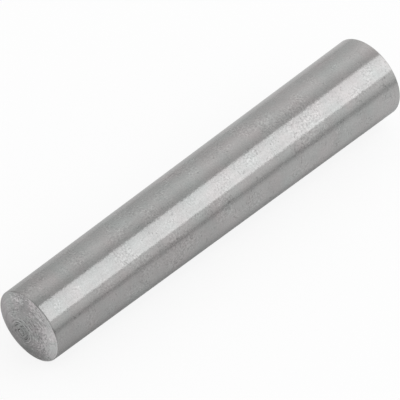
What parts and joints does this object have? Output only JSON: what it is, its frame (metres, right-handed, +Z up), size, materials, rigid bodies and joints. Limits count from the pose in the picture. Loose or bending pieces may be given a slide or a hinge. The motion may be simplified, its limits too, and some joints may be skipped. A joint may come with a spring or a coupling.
{
  "type": "taper pin",
  "caption": "Plain steel taper pin with a slow even taper, spherical crowned ends and rounded rims, driven into a taper-reamed hole to locate or lock two parts.",
  "frame": {"origin": "on the pin's axis, in the small end's plane, where the cone and the small crown would meet if the rim were sharp", "axes": "+X along the pin's axis from the small end to the large end, +Z up; the pin is round, so Y and Z are any two directions square to its axis"},
  "size_m": [0.0636, 0.0112, 0.0112],
  "materials": {
    "turned_steel": "bright turned and ground steel, uncoated: fine matt grain on the cone, fine concentric turning rings on both crowns"
  },
  "bodies": {
    "root": {"taper_pin": "turned_steel"}
  },
  "joints": []
}
